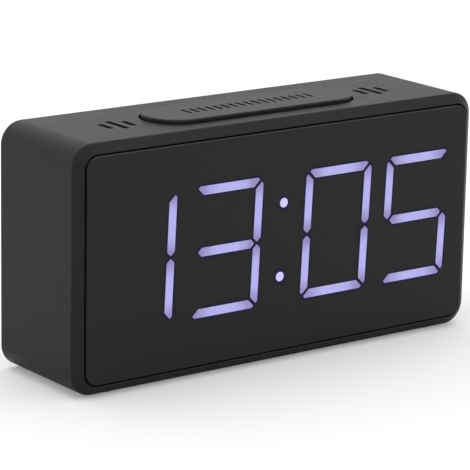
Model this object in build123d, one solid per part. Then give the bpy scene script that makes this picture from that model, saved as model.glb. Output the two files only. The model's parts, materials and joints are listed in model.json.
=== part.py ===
"""Digital LED desk clock: a moulded case with a seven-segment display, a snooze bar and a rear battery bay.

Millimetres. +Z is up, the display faces -Y, and the origin lies on the table under the middle of the case.
Seen from the front, +X is to the right.
"""

from build123d import *
from math import hypot, radians, sqrt, tan
import os

# Case
case_width = 130.0
case_height = 65.1
case_depth = 35.0
case_corner_radius = 6.0
case_wall = 2.0
rim_width = 2.45
rim_depth = 1.9
rim_land = 0.12
rim_edge_radius = 0.7
rear_edge_radius = 0.5
foot_proud = 0.5

# Front panel and what lies behind it, from the front to the back
panel_gap = 0.45
panel_proud = 0.6
recess_radius = 3.9
panel_thickness = 2.2
panel_edge_radius = 0.4
tape_thickness = 0.2
tape_width = 1.2
ledge_thickness = 1.8
reflector_depth = 3.6
board_thickness = 1.2

# Seven-segment figures
shown_figures = "1305"
lit_bars = {"0": "abcdef", "1": "bc", "3": "abcdg", "5": "acdfg"}
display_margin = 4.8
digit_width_share = 0.1948
digit_pitch_share = 0.2424
digit_height = 34.7
digit_slant = 2.4
segment_width = 2.34
segment_gap = 0.85
segment_tip_cut = 1.25
middle_gap = 0.95
middle_setback = 1.0
middle_tip_half = 0.2
colon_diameter = 2.55
colon_spacing = 19.8
colon_drop = 0.3
display_shift_x = -0.9
display_shift_z = 0.65
lens_clearance = 0.02

# Reflector and display board
cell_wall = 1.2
window_clearance = 0.4
display_boss_radius = 2.4
display_boss_gap = 0.4
display_boss_inset = 16.5
led_length = 3.0
led_width = 1.4
led_height = 0.8

# Slots and snooze button in the top face
top_row_shift = -1.2
slot_inset = 21.3
slot_pitch = 3.55
slot_long = 9.8
slot_short = 6.0
slot_width = 1.6
snooze_end_gap = 9.2
snooze_width = 17.8
snooze_height = 1.1
snooze_edge_radius = 0.5
snooze_gap = 0.6
snooze_flange_lip = 1.0
snooze_flange_thickness = 1.0
snooze_wall = 1.5
snooze_travel = 0.8
snooze_groove_count = 17
snooze_groove_margin = 12.0
snooze_groove_width = 1.0
snooze_groove_length = 4.6
snooze_groove_depth = 0.4

# Snooze board, which hangs under the top
snooze_board_drop = 7.0
snooze_boss_radius = 2.0
snooze_boss_gap = 0.4
snooze_board_gap = 0.5
snooze_board_margin = 1.8
guide_post_radius = 1.3
guide_post_inset = 8.5
guide_post_end = 1.0
guide_clearance = 0.1
spring_wire = 0.4
spring_radius = 2.2
spring_turns = 4
snooze_tact_size = 6.0
snooze_tact_height = 3.4
snooze_plunger_radius = 1.7
snooze_plunger_proud = 1.3
snooze_plunger_depth = 0.1
snooze_boss_core = 3.0
snooze_lead_gap = 4.5

# Rear cover and its screw columns
cover_thickness = 2.0
cover_inset = 0.8
cover_clearance = 0.2
column_radius = 3.2
column_inset = 5.0
column_rib = 1.4
counterbore_depth = 1.3

# Battery bay
cell_diameter = 10.5
cell_length = 44.5
cell_nub_diameter = 3.8
cell_nub_length = 0.9
cell_cap_edge = 0.5
cell_pitch = 11.0
cell_count = 3
cell_clearance = 0.3
contact_thickness = 0.4
contact_width = 7.6
contact_spring_length = 5.2
contact_spring_wire = 0.5
contact_spring_radius = 2.5
contact_spring_turns = 4
contact_tag_width = 2.0
contact_tag_length = 1.6
contact_tag_clearance = 0.1
bay_wall = 2.3
bay_floor = 1.2
bay_lift = 3.5

# Battery door
door_thickness = 1.5
door_clearance = 0.25
door_seat = 1.3
door_corner_radius = 1.5
tab_width = 6.0
tab_spread = 34.0
tab_thickness = 1.0
tab_drop = 0.9
tab_leg = 1.3
latch_width = 10.0
latch_length = 7.0
latch_slit = 0.8
latch_nose = 0.9
grip_count = 5
grip_length = 7.0
grip_pitch = 1.1
grip_width = 0.5
grip_depth = 0.3
finger_notch_radius = 6.0
finger_notch_rise = 2.6
finger_notch_depth = 0.9

# Control board and what stands on it
control_board_end_gap = 8.8
control_board_lower_gap = 2.2
control_board_upper_gap = 3.2
control_part_inset = 10.0
standoff_height = 3.8
standoff_radius = 2.2
standoff_margin = 0.3
key_count = 4
key_radius = 2.8
key_clearance = 0.25
key_proud = 0.6
key_edge_radius = 0.25
key_flange_lip = 1.0
key_flange_thickness = 0.8
key_stem_radius = 1.5
key_travel = 0.3
tact_size = 4.6
tact_height = 1.6
tact_plunger_radius = 1.1
tact_plunger_proud = 0.6
tact_corner_radius = 0.4
tact_leg_width = 0.8
tact_leg_length = 0.9
tact_leg_thickness = 0.2
plunger_depth = 0.5
plunger_socket_depth = 1.0
plunger_clearance = 0.05
slide_travel = 2.5
slide_body_length = 8.6
slide_body_width = 4.4
slide_body_height = 2.2
slide_lever_size = 1.5
slide_lever_depth = 1.2
slide_lever_grip = 0.6
slider_length = 4.0
slider_width = 3.2
slider_proud = 0.5
slider_flange_length = 9.6
slider_flange_width = 5.4
slider_flange_thickness = 0.9
slider_groove_count = 3
slider_groove_width = 0.5
slider_groove_depth = 0.3
socket_width = 7.6
socket_height = 3.0
socket_wall = 0.35
socket_corner_radius = 0.6
socket_tongue_width = 4.6
socket_tongue_thickness = 0.8
socket_tongue_setback = 0.8
socket_recess = 0.9
socket_recess_margin = 1.8

# Small electronic parts
driver_length = 10.2
driver_width = 5.4
driver_height = 1.7
driver_pins = 8
driver_inset = 32.5
driver_drop = 8.0
micro_length = 10.4
micro_width = 6.0
micro_pins = 8
micro_gap = 1.8
pin_width = 0.4
pin_thickness = 0.2
pin_reach = 1.0
resistor_length = 2.0
resistor_width = 1.25
resistor_height = 0.5
resistor_count = 8
resistor_pitch = 3.0
resistor_drop = 15.0
crystal_radius = 1.5
crystal_length = 8.0
crystal_edge_radius = 0.3
crystal_inset = 11.0
crystal_drop = 5.0
capacitor_radius = 3.15
capacitor_length = 7.0
capacitor_edge_radius = 0.5
capacitor_gap = 8.0
part_row_drop = 2.4

# Buzzer
buzzer_diameter = 9.0
buzzer_height = 5.5
buzzer_hole_radius = 1.0
buzzer_holder_wall = 1.0
buzzer_fit = 0.1
buzzer_lead_spacing = 2.6

# Feet
foot_diameter = 8.0
foot_pocket = 0.5
foot_clearance = 0.1
foot_edge_radius = 0.2
foot_inset_x = 12.0
foot_inset_y = 7.0

# Screws
screw_radius = 1.0
screw_head_radius = 1.9
screw_head_height = 1.2
screw_head_edge_radius = 0.4
screw_length = 4.0
cover_screw_radius = 1.3
cover_screw_head_radius = 2.4
cover_screw_length = 10.0
screw_cross_width = 0.5
screw_cross_depth = 0.6
screw_fit = 0.05
screw_hole_clearance = 0.25
screw_end_room = 0.5

# Leads and ribbon
wire_diameter = 1.0
wire_bend_radius = 2.2
wire_bend_share = 0.9
lead_drop = 2.4
ribbon_width = 12.0
ribbon_thickness = 0.6
ribbon_straight_share = 0.25
ribbon_sag_share = 0.24
ribbon_bend_share = 0.17
header_margin = 1.5
header_depth = 3.0
header_height = 4.0
header_lift = 2.1

# General clearances, cutting overrun and the reach for picking edges
stop_gap = 0.1
part_clearance = 0.3
overrun = 1.0
edge_search = 0.2

# Levels from front to back
front = -case_depth / 2
rear = case_depth / 2
panel_front = front - panel_proud
panel_back = panel_front + panel_thickness
ledge_front = panel_back + tape_thickness
ledge_back = ledge_front + ledge_thickness
board_front = ledge_front + reflector_depth
board_back = board_front + board_thickness
top_centre_y = top_row_shift
cover_outer = rear - cover_inset
cover_inner = cover_outer - cover_thickness
control_back = cover_inner - standoff_height
control_front = control_back - board_thickness
door_inner = cover_outer - door_thickness
bay_mouth = door_inner - stop_gap
cell_y = door_inner - cell_clearance - cell_diameter / 2
bay_floor_y = cell_y - cell_diameter / 2 - cell_clearance

# Levels from the table to the top
bottom = foot_proud
top = bottom + case_height
middle_z = bottom + case_height / 2
floor = bottom + case_wall
ceiling = top - case_wall
display_z = middle_z + display_shift_z
snooze_board_top = ceiling - snooze_board_drop
snooze_board_bottom = snooze_board_top - board_thickness

# Outlines that other pieces share
recess_width = case_width - 2 * (rim_width + rim_land)
recess_height = case_height - 2 * (rim_width + rim_land)
panel_width = recess_width - 2 * panel_gap
panel_height = recess_height - 2 * panel_gap
panel_radius = recess_radius - panel_gap
inner_width = case_width - 2 * case_wall
inner_height = case_height - 2 * case_wall
inner_radius = case_corner_radius - case_wall
bars_width = panel_width - 2 * display_margin
upright_width = bars_width - digit_height * tan(radians(digit_slant))
digit_width = digit_width_share * upright_width
digit_pitch = digit_pitch_share * upright_width
digit_inner_pitch = upright_width - digit_width - 2 * digit_pitch
reflector_width = bars_width + 2 * cell_wall
reflector_height = digit_height + 2 * cell_wall
window_width = reflector_width + 2 * window_clearance
window_height = reflector_height + 2 * window_clearance
display_boss_z = window_height / 2 + display_boss_gap + display_boss_radius
display_board_width = reflector_width + 2 * window_clearance
display_board_height = 2 * (display_boss_z + display_boss_radius)
display_boss_x = display_board_width / 2 - display_boss_inset
driver_x = display_board_width / 2 - driver_inset
column_x = inner_width / 2 - column_inset
column_z = inner_height / 2 - column_inset
slot_x = inner_width / 2 - slot_inset
snooze_length = 2 * (slot_x - snooze_end_gap)
snooze_groove_row = snooze_length - 2 * snooze_groove_margin - snooze_groove_width
snooze_groove_pitch = snooze_groove_row / (snooze_groove_count - 1)
guide_post_x = snooze_length / 2 - guide_post_inset
flange_growth = snooze_gap + snooze_flange_lip
snooze_board_depth = 2 * (top_centre_y - board_back - snooze_board_gap)
snooze_boss_y = snooze_board_depth / 2 - snooze_board_margin
snooze_boss_reach = snooze_width / 2 + flange_growth + snooze_boss_radius + snooze_boss_gap
snooze_boss_x = (snooze_length - snooze_width) / 2 + sqrt(snooze_boss_reach ** 2 - snooze_boss_y ** 2)
snooze_lead_x = ribbon_width / 2 + header_margin + snooze_lead_gap
column_places = [(sx * column_x, middle_z + sz * column_z) for sx in (-1, 1) for sz in (-1, 1)]
display_boss_places = [
    (display_shift_x + sx * display_boss_x, display_z + sz * display_boss_z)
    for sx in (-1, 1) for sz in (-1, 1)
]
snooze_boss_places = [
    (sx * snooze_boss_x, top_centre_y + sy * snooze_boss_y) for sx in (-1, 1) for sy in (-1, 1)
]
slot_places = [
    (side * slot_x + step * slot_pitch, slot_long if step == 0 else slot_short)
    for side in (-1, 1) for step in (-1, 0, 1)
]
foot_places = [
    (sx * (case_width / 2 - foot_inset_x), sy * (case_depth / 2 - foot_inset_y))
    for sx in (-1, 1) for sy in (-1, 1)
]

# Battery bay outline
bay_length = cell_length + contact_spring_length + 2 * contact_thickness + cell_clearance
bay_height = (cell_count - 1) * cell_pitch + cell_diameter + 2 * cell_clearance
door_width = bay_length + 2 * door_seat
door_height = bay_height + 2 * door_seat
door_bottom = floor + bay_lift
door_top = door_bottom + door_height
bay_z = (door_bottom + door_top) / 2
bay_inner_bottom = bay_z - bay_height / 2
bay_inner_top = bay_z + bay_height / 2
tab_inner_y = cover_inner - stop_gap - tab_thickness
tab_sweep = hypot(cover_outer - tab_inner_y, tab_drop) + part_clearance
tag_y = cell_y - contact_width / 2 + contact_tag_width / 2
cell_places = [bay_z + (i - (cell_count - 1) / 2) * cell_pitch for i in range(cell_count)]

# Places on the control board
cover_top = ceiling - cover_clearance
control_board_width = 2 * (column_x - column_radius - control_board_end_gap)
control_board_bottom = bay_inner_top + bay_wall + control_board_lower_gap
control_board_height = cover_top - control_board_upper_gap - control_board_bottom
key_z = control_board_bottom + control_board_height / 2
slide_x = control_board_width / 2 - control_part_inset
socket_x = -slide_x
key_pitch = 2 * slide_x / (key_count + 2)
header_z = control_board_bottom + header_lift + header_height / 2
micro_x = -(ribbon_width / 2 + header_margin + micro_gap + micro_length / 2)
crystal_x = -(control_board_width / 2 - crystal_inset)
capacitor_x = snooze_lead_x + capacitor_gap
key_places = [(i - (key_count - 1) / 2) * key_pitch for i in range(key_count)]
standoff_x = control_board_width / 2 - standoff_radius - standoff_margin
standoff_z = control_board_height / 2 - standoff_radius - standoff_margin
standoff_places = [(sx * standoff_x, key_z + sz * standoff_z) for sx in (-1, 1) for sz in (-1, 1)]
upper_lead_z = key_z - lead_drop
lower_lead_z = upper_lead_z - lead_drop
slide_rest_x = slide_x - slide_travel / 2
slider_inner = cover_inner - stop_gap - slider_flange_thickness


def slab(outline, y0, y1):
    """An outline drawn in x and z, made solid from y0 to y1."""
    return Pos(0, y0, 0) * extrude(Plane.XZ * outline, amount=-(y1 - y0))


def plate(outline, z0, z1):
    """An outline drawn in x and y, made solid from z0 to z1."""
    return extrude(Pos(0, 0, z0) * outline, amount=z1 - z0)


def block(x0, x1, y0, y1, z0, z1):
    """A box between two corners."""
    centre = Pos((x0 + x1) / 2, (y0 + y1) / 2, (z0 + z1) / 2)
    return centre * Box(x1 - x0, y1 - y0, z1 - z0)


def rod_y(x, z, y0, y1, radius):
    """A round rod along y."""
    return slab(Pos(x, z) * Circle(radius), y0, y1)


def rod_z(x, y, z0, z1, radius):
    """A round rod along z."""
    return plate(Pos(x, y) * Circle(radius), z0, z1)


def round_rect(x, z, width, height, radius):
    """A rounded rectangle about a centre."""
    return Pos(x, z) * RectangleRounded(width, height, radius)


def stadium(growth=0.0):
    """The snooze button's outline in x and y, larger by growth all round."""
    return Pos(0, top_centre_y) * SlotOverall(snooze_length + 2 * growth, snooze_width + 2 * growth)


def group(shapes):
    """Separate solids kept side by side as one group."""
    return Compound(children=[solid for shape in shapes for solid in shape.solids()])


def screw(radius, head_radius, length):
    """A pan-head screw with a cross recess, its head's underside at the origin and its shank along -z."""
    head = plate(Circle(head_radius), 0, screw_head_height)
    head = fillet(head.edges().sort_by(Axis.Z)[-1], screw_head_edge_radius)
    cross = Rectangle(head_radius, screw_cross_width) + Rectangle(screw_cross_width, head_radius)
    recess = plate(cross, screw_head_height - screw_cross_depth, screw_head_height + overrun)
    shank = plate(Circle(radius), -length + radius, 0)
    tip = Pos(0, 0, -length + radius / 2) * Cone(radius / 2, radius, radius)
    return head - recess + shank + tip


def wire(points):
    """A lead swept along straight runs, with turns as round as the shortest run allows."""
    shortest = min((Vector(b) - Vector(a)).length for a, b in zip(points, points[1:]))
    path = FilletPolyline(*points, radius=min(wire_bend_radius, wire_bend_share * shortest))
    section = Plane(origin=points[0], z_dir=path % 0) * Circle(wire_diameter / 2)
    return sweep(section, path=path)


def segment_points():
    """The outline of each bar of a figure, about the figure's centre and upright."""
    w, h, t = digit_width / 2, digit_height / 2, segment_width
    e, c = segment_gap / sqrt(2), segment_tip_cut * sqrt(2)
    k, m = middle_tip_half, middle_gap / 2
    end = w - t / 2 - middle_setback
    top_bar = [
        (w - t - e, h - t), (w - (e + c) / 2, h - (c - e) / 2), (w - c, h),
        (c - w, h), ((e + c) / 2 - w, h - (c - e) / 2), (t + e - w, h - t),
    ]
    right_bar = [
        (w - t, h - t - e), (w + (e - c) / 2, h - (e + c) / 2), (w, h - c),
        (w, m + t / 2 - k), (w - t / 2 + k, m), (w - t / 2 - k, m), (w - t, m + t / 2 - k),
    ]
    middle_bar = [
        (end, -k), (end, k), (end - t / 2 + k, t / 2), (t / 2 - k - end, t / 2),
        (-end, k), (-end, -k), (t / 2 - k - end, -t / 2), (end - t / 2 + k, -t / 2),
    ]

    def flipped(points, across, down):
        return [(across * u, down * v) for u, v in points]

    return {
        "a": top_bar,
        "b": right_bar,
        "c": flipped(right_bar, 1, -1),
        "d": flipped(top_bar, 1, -1),
        "e": flipped(right_bar, -1, -1),
        "f": flipped(right_bar, -1, 1),
        "g": middle_bar,
    }


def slanted(u, v):
    """A point of a figure, leaning to the right towards its top."""
    return u + v * tan(radians(digit_slant)), v


def figure_bars():
    """Every bar of the four figures as (outline, lit, bar centre, upright)."""
    offsets = [
        side * (digit_inner_pitch / 2 + step * digit_pitch)
        for side, step in ((-1, 1), (-1, 0), (1, 0), (1, 1))
    ]
    w, h, t = digit_width / 2, digit_height / 2, segment_width / 2
    centres = {
        "a": (0, h - t), "b": (w - t, h / 2), "c": (w - t, -h / 2), "d": (0, t - h),
        "e": (t - w, -h / 2), "f": (t - w, h / 2), "g": (0, 0),
    }
    bars = []
    for figure, offset in zip(shown_figures, offsets):
        place = Pos(display_shift_x + offset, display_z)
        for name, points in segment_points().items():
            outline = place * make_face(Polyline(*[slanted(u, v) for u, v in points], close=True))
            u, v = slanted(*centres[name])
            centre = (display_shift_x + offset + u, display_z + v)
            bars.append((outline, name in lit_bars[figure], centre, name in "bcef"))
    return bars


def colon_places():
    """The centres of the two dots between the hours and the minutes."""
    places = []
    for side in (-1, 1):
        u, v = slanted(0, side * colon_spacing / 2 - colon_drop)
        places.append((display_shift_x + u, display_z + v))
    return places


bars = figure_bars()
dots = colon_places()
nodes = {}


def make_housing():
    """The case: a shell open at the back, with a bevelled rim round the panel recess at the front."""
    body = slab(round_rect(0, middle_z, case_width, case_height, case_corner_radius), front, rear)
    back_edges = body.faces().sort_by(Axis.Y)[-1].edges()
    body = fillet(back_edges, rear_edge_radius)
    face = body.faces().sort_by(Axis.Y)[0]
    body = chamfer(face.edges(), length=rim_width, length2=rim_depth, reference=face)
    rim_back = front + rim_depth
    rim_edges = body.edges().filter_by_position(Axis.Y, rim_back - edge_search, rim_back + edge_search)
    body = fillet(rim_edges, rim_edge_radius)
    recess = round_rect(0, middle_z, recess_width, recess_height, recess_radius)
    body -= slab(recess, front - overrun, ledge_front)
    inside = round_rect(0, middle_z, inner_width, inner_height, inner_radius)
    body -= slab(inside, ledge_back, rear + overrun)
    window = Pos(display_shift_x, display_z) * Rectangle(window_width, window_height)
    body -= slab(window, ledge_front - overrun, ledge_back + overrun)

    for x, z in column_places:
        side, level = (1 if x > 0 else -1), (1 if z > middle_z else -1)
        wall_x = side * (inner_width + case_wall) / 2
        wall_z = middle_z + level * (inner_height + case_wall) / 2
        body += rod_y(x, z, ledge_back - overrun, cover_inner, column_radius)
        rib_x = sorted((x + side * column_radius / 2, wall_x))
        rib_z = sorted((z + level * column_radius / 2, wall_z))
        body += block(*rib_x, ledge_back, cover_inner, z - column_rib / 2, z + column_rib / 2)
        body += block(x - column_rib / 2, x + column_rib / 2, ledge_back, cover_inner, *rib_z)
        hole_depth = cover_screw_length + screw_end_room
        hole_start = cover_outer - counterbore_depth - hole_depth
        body -= rod_y(x, z, hole_start, rear, cover_screw_radius + screw_fit)

    for x, z in display_boss_places:
        body += rod_y(x, z, ledge_back - ledge_thickness / 2, board_front, display_boss_radius)
        hole_start = board_back - screw_length - screw_fit
        body -= rod_y(x, z, hole_start, board_front + overrun, screw_radius + screw_fit)

    for x, y in snooze_boss_places:
        body += rod_z(x, y, snooze_board_top, ceiling + case_wall / 2, snooze_boss_radius)
        hole_end = snooze_board_bottom + screw_length + screw_fit
        body -= rod_z(x, y, snooze_board_top - overrun, hole_end, screw_radius + screw_fit)

    body -= plate(stadium(snooze_gap), ceiling - overrun, top + overrun)
    for x, length in slot_places:
        slot = Pos(x, top_centre_y) * Rot(0, 0, 90) * SlotOverall(length, slot_width)
        body -= plate(slot, ceiling - overrun, top + overrun)

    holder_radius = buzzer_diameter / 2 + buzzer_fit
    holder = Circle(holder_radius + buzzer_holder_wall) - Circle(holder_radius)
    body += plate(Pos(slot_x, top_centre_y) * holder, ceiling - buzzer_height, ceiling)

    for x, y in foot_places:
        body -= rod_z(x, y, bottom - overrun, bottom + foot_pocket, foot_diameter / 2 + foot_clearance)
    return body


def make_front_panel():
    """The dark panel, with a window for every bar and dot."""
    panel = slab(round_rect(0, middle_z, panel_width, panel_height, panel_radius), panel_front, panel_back)
    panel = fillet(panel.faces().sort_by(Axis.Y)[0].edges(), panel_edge_radius)
    holes = [offset(outline, lens_clearance, kind=Kind.INTERSECTION) for outline, *_ in bars]
    holes += [Pos(x, z) * Circle(colon_diameter / 2 + lens_clearance) for x, z in dots]
    for hole in holes:
        panel -= slab(hole, panel_front - overrun, panel_back + overrun)
    return panel


def make_tape():
    """The adhesive frame that holds the panel on its ledge."""
    outer = round_rect(0, middle_z, panel_width, panel_height, panel_radius)
    inner = round_rect(
        0, middle_z, panel_width - 2 * tape_width, panel_height - 2 * tape_width, panel_radius - tape_width,
    )
    return slab(outer - inner, panel_back, ledge_front)


def make_lenses(lit):
    """The light bars that fill the panel's windows, lit or dark."""
    return group([slab(outline, panel_front, panel_back) for outline, on, *_ in bars if on == lit])


def make_colon():
    """The two round dots."""
    return group([rod_y(x, z, panel_front, panel_back, colon_diameter / 2) for x, z in dots])


def make_diffuser():
    """The thin milky sheet behind the light bars."""
    sheet = Pos(display_shift_x, display_z) * Rectangle(reflector_width, reflector_height)
    return slab(sheet, panel_back, ledge_front)


def make_reflector():
    """The white block with a light cell behind every bar and dot."""
    outline = Pos(display_shift_x, display_z) * Rectangle(reflector_width, reflector_height)
    body = slab(outline, ledge_front, board_front)
    cells = [outline for outline, *_ in bars] + [Pos(x, z) * Circle(colon_diameter / 2) for x, z in dots]
    for cell in cells:
        body -= slab(cell, ledge_front - overrun, board_front + overrun)
    return body


def make_display_board():
    """The board behind the reflector, notched round the screw columns."""
    board = slab(
        Pos(display_shift_x, display_z) * Rectangle(display_board_width, display_board_height),
        board_front, board_back,
    )
    reach = column_radius + part_clearance
    for x, z in column_places:
        edge_x = sorted((x - reach if x > 0 else x + reach, 2 * x))
        edge_z = sorted((z - reach, z + case_height) if z > middle_z else (z + reach, z - case_height))
        board -= block(*edge_x, board_front - overrun, board_back + overrun, *edge_z)
    hole_radius = screw_radius + screw_hole_clearance
    for x, z in display_boss_places:
        board -= rod_y(x, z, board_front - overrun, board_back + overrun, hole_radius)
    return board


def make_leds():
    """One light for each bar and dot."""
    outlines = [
        Pos(*centre) * Rectangle(*((led_width, led_length) if upright else (led_length, led_width)))
        for _, _, centre, upright in bars
    ]
    outlines += [Pos(*centre) * Rectangle(led_width, led_width) for centre in dots]
    return group([slab(outline, board_front - led_height, board_front) for outline in outlines])


def make_chip(length, width, height, pins):
    """A chip in a flat package lying on z = 0, with its pins along both long sides."""
    body = plate(Rectangle(length, width), pin_thickness, height)
    pitch = length / pins
    for i in range(pins):
        x = (i - (pins - 1) / 2) * pitch
        for side in (-1, 1):
            inner, outer = side * (width / 2 - pin_reach / 2), side * (width / 2 + pin_reach)
            knee = side * (width / 2 + pin_reach / 2)
            upper = sorted((inner, knee))
            lower = sorted((knee - side * pin_thickness, outer))
            ends = (x - pin_width / 2, x + pin_width / 2)
            body += block(*ends, *upper, height / 2, height / 2 + pin_thickness)
            body += block(*ends, *sorted((knee - side * pin_thickness, knee)), 0, height / 2 + pin_thickness)
            body += block(*ends, *lower, 0, pin_thickness)
    return body


def on_back(shape, x, z, y):
    """A part drawn on z = 0 set on a board face that looks towards +Y."""
    return Pos(x, y, z) * Rot(-90, 0, 0) * shape


def on_front(shape, x, z, y):
    """A part drawn on z = 0 set on a board face that looks towards -Y."""
    return Pos(x, y, z) * Rot(90, 0, 0) * shape


def make_driver_chips():
    """The two chips that light the bars, on the back of the display board."""
    chip = make_chip(driver_length, driver_width, driver_height, driver_pins)
    return group([on_back(chip, side * driver_x, display_z - driver_drop, board_back) for side in (-1, 1)])


def make_resistors():
    """A row of resistors below the driver chips."""
    chip = plate(Rectangle(resistor_width, resistor_length), 0, resistor_height)
    places = [(i - (resistor_count - 1) / 2) * resistor_pitch for i in range(resistor_count)]
    return group([on_back(chip, x, display_z - resistor_drop, board_back) for x in places])


def make_header():
    """A connector for the ribbon, drawn on z = 0."""
    return plate(Rectangle(ribbon_width + 2 * header_margin, header_height), 0, header_depth)


def make_headers():
    """The two ribbon connectors, one on each board."""
    lower = on_back(make_header(), 0, header_z, board_back)
    return group([lower, on_front(make_header(), 0, header_z, control_front)])


def make_ribbon():
    """The flat ribbon that sags a little between the two boards."""
    start, end = board_back + header_depth, control_front - header_depth
    room = end - start
    straight, low = ribbon_straight_share * room, header_z - ribbon_sag_share * room
    points = [
        (start, header_z), (start + straight, header_z), ((start + end) / 2, low),
        (end - straight, header_z), (end, header_z),
    ]
    path = FilletPolyline(*[(0, y, z) for y, z in points], radius=ribbon_bend_share * room)
    across = Plane(origin=(0, start, header_z), x_dir=(1, 0, 0), z_dir=(0, 1, 0))
    return sweep(across * Rectangle(ribbon_width, ribbon_thickness), path=path)


def make_control_board():
    """The board behind the rear cover that carries the keys, switch and socket."""
    outline = Pos(0, key_z) * Rectangle(control_board_width, control_board_height)
    for x, z in standoff_places:
        outline -= Pos(x, z) * Circle(screw_radius + screw_hole_clearance)
    return slab(outline, control_front, control_back)


def make_tact_switch(size, height, plunger_radius):
    """A tact switch without its plunger, drawn on z = 0."""
    body = plate(RectangleRounded(size, size, tact_corner_radius), 0, height)
    socket = Circle(plunger_radius + plunger_clearance)
    body -= plate(socket, height - plunger_socket_depth, height + overrun)
    for sx in (-1, 1):
        for sy in (-1, 1):
            ends = sorted((sx * size / 2, sx * (size / 2 + tact_leg_length)))
            y = sy * (size / 2 - tact_leg_width)
            body += block(*ends, y - tact_leg_width / 2, y + tact_leg_width / 2, 0, tact_leg_thickness)
    return body


def make_key_switches():
    """The tact switches behind the rear keys."""
    switch = make_tact_switch(tact_size, tact_height, tact_plunger_radius)
    return group([on_back(switch, x, key_z, control_back) for x in key_places])


def make_key_plunger(x):
    """The plunger of one tact switch."""
    start = control_back + tact_height - plunger_depth
    return rod_y(x, key_z, start, control_back + tact_height + tact_plunger_proud, tact_plunger_radius)


def make_rear_key(x):
    """One round rear key, with a flange that keeps it in the cover and a stem to its switch."""
    flange_back = cover_inner - stop_gap
    key = rod_y(x, key_z, flange_back - key_flange_thickness, flange_back, key_radius + key_flange_lip)
    cap = rod_y(x, key_z, flange_back - key_flange_thickness / 2, cover_outer + key_proud, key_radius)
    cap = fillet(cap.edges().sort_by(Axis.Y)[-1], key_edge_radius)
    stem_start = control_back + tact_height + tact_plunger_proud
    stem = rod_y(x, key_z, stem_start, flange_back - key_flange_thickness / 2, key_stem_radius)
    return key + cap + stem


def make_slide_switch():
    """The body of the slide switch, with the slot that its lever runs in."""
    body = plate(Rectangle(slide_body_length, slide_body_width), 0, slide_body_height)
    slot = Rectangle(slide_lever_size + slide_travel + 2 * stop_gap, slide_lever_size + 2 * stop_gap)
    body -= plate(slot, slide_body_height - slide_lever_depth - stop_gap, slide_body_height + overrun)
    return on_back(body, slide_x, key_z, control_back)


def make_slide_lever():
    """The lever of the slide switch, at its off end."""
    start = control_back + slide_body_height - slide_lever_depth
    lever = Pos(slide_rest_x, key_z) * Rectangle(slide_lever_size, slide_lever_size)
    return slab(lever, start, slider_inner + slide_lever_grip)


def make_slider():
    """The knob over the lever, with a flange inside the cover and three grooves on its crown."""
    flange = Pos(slide_rest_x, key_z) * Rectangle(slider_flange_length, slider_flange_width)
    knob = Pos(slide_rest_x, key_z) * Rectangle(slider_length, slider_width)
    body = slab(flange, slider_inner, cover_inner - stop_gap)
    body += slab(knob, slider_inner, cover_outer + slider_proud)
    pocket = Pos(slide_rest_x, key_z) * Rectangle(slide_lever_size, slide_lever_size)
    body -= slab(offset(pocket, plunger_clearance), slider_inner - overrun, slider_inner + slide_lever_grip)
    crown = cover_outer + slider_proud
    for i in range(slider_groove_count):
        x = slide_rest_x + (i - (slider_groove_count - 1) / 2) * 2 * slider_groove_width
        groove = Pos(x, key_z) * Rectangle(slider_groove_width, slider_width + overrun)
        body -= slab(groove, crown - slider_groove_depth, crown + overrun)
    return body


def make_socket():
    """The power socket: a metal shell with a tongue inside, open to the back."""
    mouth = cover_outer - socket_recess
    size = (socket_width, socket_height, socket_corner_radius)
    shell = slab(round_rect(socket_x, key_z, *size), control_back, mouth)
    inner = (socket_width - 2 * socket_wall, socket_height - 2 * socket_wall, size[-1] - socket_wall / 2)
    shell -= slab(round_rect(socket_x, key_z, *inner), control_back + 2 * socket_wall, mouth + overrun)
    tongue = Pos(socket_x, key_z) * Rectangle(socket_tongue_width, socket_tongue_thickness)
    return shell + slab(tongue, control_back + socket_wall, mouth - socket_tongue_setback)


def make_micro():
    """The microcontroller, on the front of the control board."""
    chip = make_chip(micro_length, micro_width, driver_height, micro_pins)
    return on_front(chip, micro_x, key_z - part_row_drop, control_front)


def make_crystal():
    """The clock crystal in its can, lying along the board."""
    y = control_front - crystal_radius
    can = Pos(crystal_x, y, key_z - crystal_drop) * Rot(0, 90, 0) * Cylinder(crystal_radius, crystal_length)
    return fillet(can.edges(), crystal_edge_radius)


def make_capacitor():
    """The smoothing capacitor, standing on the board."""
    can = plate(Circle(capacitor_radius), 0, capacitor_length)
    can = fillet(can.edges().sort_by(Axis.Z)[-1], capacitor_edge_radius)
    return on_front(can, capacitor_x, key_z - part_row_drop, control_front)


def make_buzzer():
    """The round buzzer under the right-hand slots, with its sound hole upwards."""
    x, y = slot_x, top_centre_y
    can = rod_z(x, y, ceiling - buzzer_height, ceiling - part_clearance, buzzer_diameter / 2)
    return can - rod_z(x, y, ceiling - buzzer_height / 2, ceiling, buzzer_hole_radius)


def drop_lead(x, y, z, level):
    """A lead that runs straight from a piece to a level, and turns back there to the control board."""
    return wire([(x, y, z), (x, y, level), (x, control_front, level)])


def make_buzzer_leads():
    """The buzzer's two leads."""
    places = [slot_x + side * buzzer_lead_spacing / 2 for side in (-1, 1)]
    return group([drop_lead(x, top_centre_y, ceiling - buzzer_height, upper_lead_z) for x in places])


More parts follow.
